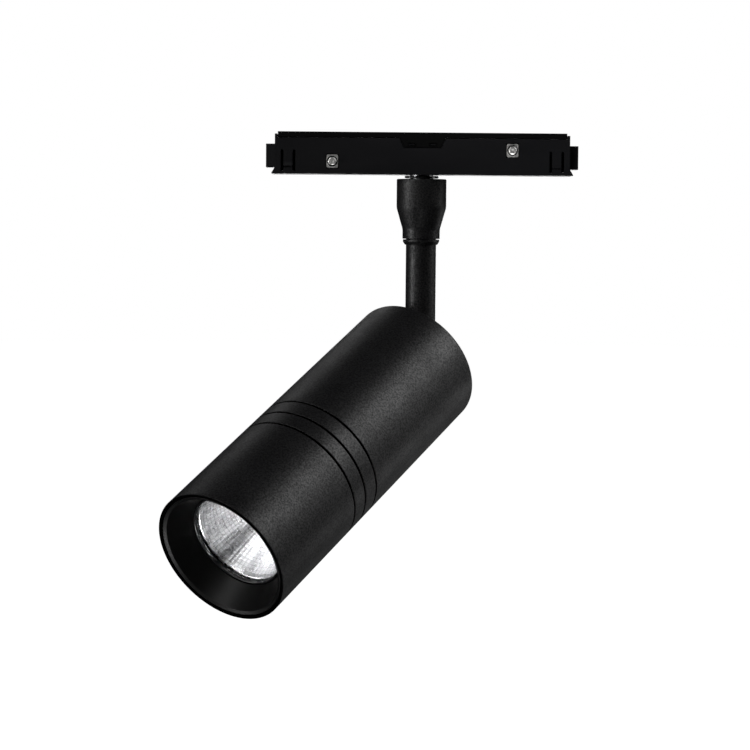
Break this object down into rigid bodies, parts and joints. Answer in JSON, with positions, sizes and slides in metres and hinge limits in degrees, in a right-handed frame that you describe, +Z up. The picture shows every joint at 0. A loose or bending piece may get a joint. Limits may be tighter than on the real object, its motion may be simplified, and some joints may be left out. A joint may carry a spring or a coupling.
{
  "type": "track spotlight",
  "caption": "Cylindrical spotlight with a glare baffle, tilting and turning on a short stem under a slim low-voltage track adapter with sprung contacts and end latches.",
  "frame": {"origin": "centre of the adapter's flat top face, which lies against the inside of the track", "axes": "+X along the track, +Y across it away from the sprung contacts, +Z up into the track"},
  "size_m": [0.16, 0.136, 0.1821],
  "materials": {
    "black_plastic": "smooth moulded black polycarbonate",
    "black_powder": "fine sand-textured black powder coat on turned aluminium",
    "black_matte": "flat black anti-glare finish",
    "black_gloss": "glossy black",
    "nickel": "bright nickel plate",
    "steel": "zinc-plated steel",
    "magnet": "nickel-plated neodymium magnet",
    "mirror": "bright metallised reflector with small facets",
    "clear_glass": "clear flat glass",
    "board": "green solder mask",
    "phosphor": "yellow phosphor on a white carrier",
    "pad": "grey thermal pad",
    "cable": "black silicone leads"
  },
  "bodies": {
    "adapter": {"adapter_housing": "black_plastic", "adapter_cover": "black_plastic", "magnet_left": "magnet", "magnet_right": "magnet", "keeper_left": "steel", "keeper_right": "steel", "contact_spring_left": "steel", "contact_spring_right": "steel", "latch_spring_left": "steel", "latch_spring_right": "steel", "wave_washer": "steel", "pan_stop_post": "steel", "adapter_board": "board", "adapter_choke": "black_matte", "contact_block_left": "black_matte", "contact_block_right": "black_matte", "thrust_washer": "black_matte", "contact_plate_left": "nickel", "contact_plate_right": "nickel"},
    "stem": {"swivel_stud": "steel", "swivel_nut": "steel", "stop_washer": "steel", "swivel_cup": "black_powder", "grub_screw": "steel", "stem_collar": "black_powder", "stem_tube": "black_powder", "hinge_knuckle": "black_powder", "stem_leads": "cable"},
    "head": {"rear_cap": "black_powder", "cap_screw_1": "steel", "cap_screw_2": "steel", "cap_screw_3": "steel", "hinge_bolt": "steel", "hinge_nut": "steel", "hinge_washer_left": "steel", "hinge_washer_right": "steel", "rear_housing": "black_powder", "heat_sink": "black_powder", "front_tube": "black_powder", "driver_tray": "black_matte", "driver_board": "board", "driver_choke": "black_matte", "driver_capacitor": "black_gloss", "head_leads": "cable", "led_leads": "cable", "thermal_pad": "pad", "cob_led": "phosphor", "cob_holder": "black_matte", "holder_screw_1": "steel", "holder_screw_2": "steel", "optic_sleeve": "black_matte", "reflector": "mirror", "glass_lens": "clear_glass", "lens_ring": "black_gloss", "front_baffle": "black_matte"},
    "contact_left": {"contact_pin_left": "nickel"},
    "contact_right": {"contact_pin_right": "nickel"},
    "end_latch_left": {"latch_left": "black_plastic"},
    "end_latch_right": {"latch_right": "black_plastic"}
  },
  "joints": [
    {"name": "pan", "type": "hinge", "parent": "adapter", "child": "stem", "pos_m": [0, 0, -0.0175], "axis": [0, 0, 1], "range_deg": [-133.9, 206.1]},
    {"name": "tilt", "type": "hinge", "parent": "stem", "child": "head", "pos_m": [0, 0, -0.09095], "axis": [-0.808, 0.5892, 0], "range_deg": [-61.9, 23.1]},
    {"name": "contact_left_press", "type": "slide", "parent": "adapter", "child": "contact_left", "axis": [0, 1, 0], "range_m": [0, 0.001], "stiffness_N_per_m": 300, "springref_m": -0.0015, "deforming": ["contact_spring_left"]},
    {"name": "contact_right_press", "type": "slide", "parent": "adapter", "child": "contact_right", "axis": [0, 1, 0], "range_m": [0, 0.001], "stiffness_N_per_m": 300, "springref_m": -0.0015, "deforming": ["contact_spring_right"]},
    {"name": "latch_left_press", "type": "slide", "parent": "adapter", "child": "end_latch_left", "axis": [1, 0, 0], "range_m": [0, 0.0025], "stiffness_N_per_m": 500, "springref_m": -0.002, "deforming": ["latch_spring_left"]},
    {"name": "latch_right_press", "type": "slide", "parent": "adapter", "child": "end_latch_right", "axis": [-1, 0, 0], "range_m": [0, 0.0025], "stiffness_N_per_m": 500, "springref_m": -0.002, "deforming": ["latch_spring_right"]}
  ]
}
